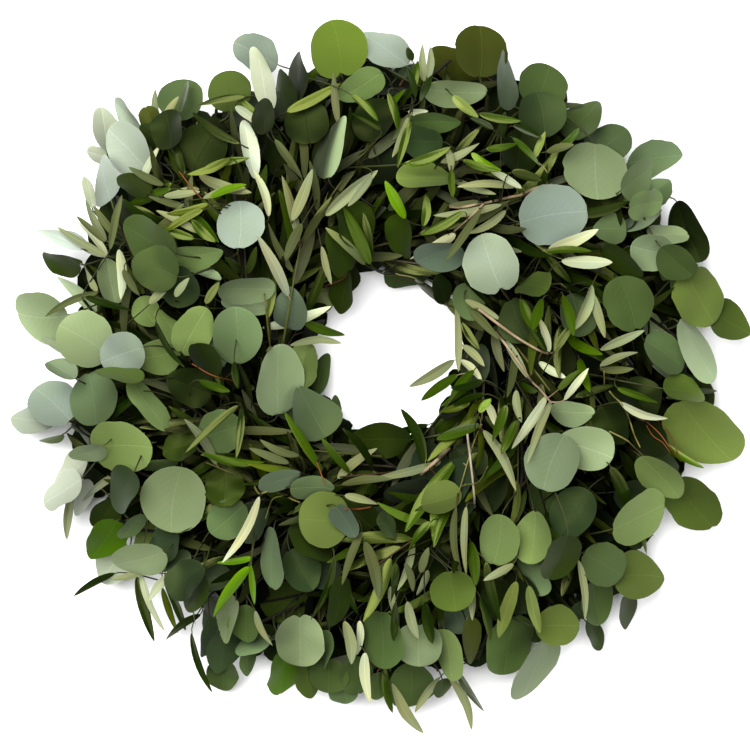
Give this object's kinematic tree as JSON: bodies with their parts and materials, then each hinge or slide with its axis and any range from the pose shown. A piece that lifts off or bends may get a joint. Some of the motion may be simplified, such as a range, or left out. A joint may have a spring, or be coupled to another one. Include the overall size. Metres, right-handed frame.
{
  "type": "eucalyptus and olive wreath",
  "caption": "Round door wreath of fresh round-leaved eucalyptus sprays mixed with olive sprigs, wire-bound to a wire ring, laid on its back.",
  "frame": {"origin": "under the middle of the wreath's box, on the surface that it lies on", "axes": "+Z out of the wreath's face, away from the door; +Y towards the top as it hangs; +X to the right seen from the front"},
  "size_m": [0.5618, 0.5398, 0.1075],
  "materials": {
    "eucalyptus_leaf": "matte waxy leaf, dusty grey-green",
    "olive_leaf": "satin dark green above, silvery below",
    "galvanised_wire": "dull zinc",
    "green_binding_wire": "green enamel, satin"
  },
  "bodies": {
    "root": {"binding_wire": "green_binding_wire", "eucalyptus_spray_01": "eucalyptus_leaf", "eucalyptus_spray_02": "eucalyptus_leaf", "eucalyptus_spray_03": "eucalyptus_leaf", "eucalyptus_spray_04": "eucalyptus_leaf", "eucalyptus_spray_05": "eucalyptus_leaf", "eucalyptus_spray_06": "eucalyptus_leaf", "eucalyptus_spray_07": "eucalyptus_leaf", "eucalyptus_spray_08": "eucalyptus_leaf", "eucalyptus_spray_09": "eucalyptus_leaf", "eucalyptus_spray_10": "eucalyptus_leaf", "eucalyptus_spray_11": "eucalyptus_leaf", "eucalyptus_spray_12": "eucalyptus_leaf", "eucalyptus_spray_13": "eucalyptus_leaf", "eucalyptus_spray_14": "eucalyptus_leaf", "eucalyptus_spray_15": "eucalyptus_leaf", "eucalyptus_spray_16": "eucalyptus_leaf", "eucalyptus_spray_17": "eucalyptus_leaf", "eucalyptus_spray_18": "eucalyptus_leaf", "eucalyptus_spray_19": "eucalyptus_leaf", "eucalyptus_spray_20": "eucalyptus_leaf", "eucalyptus_spray_21": "eucalyptus_leaf", "eucalyptus_spray_22": "eucalyptus_leaf", "eucalyptus_spray_23": "eucalyptus_leaf", "eucalyptus_spray_24": "eucalyptus_leaf", "olive_sprig_01": "olive_leaf", "olive_sprig_02": "olive_leaf", "olive_sprig_03": "olive_leaf", "olive_sprig_04": "olive_leaf", "olive_sprig_05": "olive_leaf", "olive_sprig_06": "olive_leaf", "olive_sprig_07": "olive_leaf", "olive_sprig_08": "olive_leaf", "olive_sprig_09": "olive_leaf", "olive_sprig_10": "olive_leaf", "olive_sprig_11": "olive_leaf", "olive_sprig_12": "olive_leaf", "olive_sprig_13": "olive_leaf", "olive_sprig_14": "olive_leaf", "olive_sprig_15": "olive_leaf", "olive_sprig_16": "olive_leaf", "olive_sprig_17": "olive_leaf", "olive_sprig_18": "olive_leaf", "olive_sprig_19": "olive_leaf", "olive_sprig_20": "olive_leaf", "olive_sprig_21": "olive_leaf", "olive_sprig_22": "olive_leaf", "olive_sprig_23": "olive_leaf", "olive_sprig_24": "olive_leaf", "wire_frame": "galvanised_wire"}
  },
  "joints": []
}
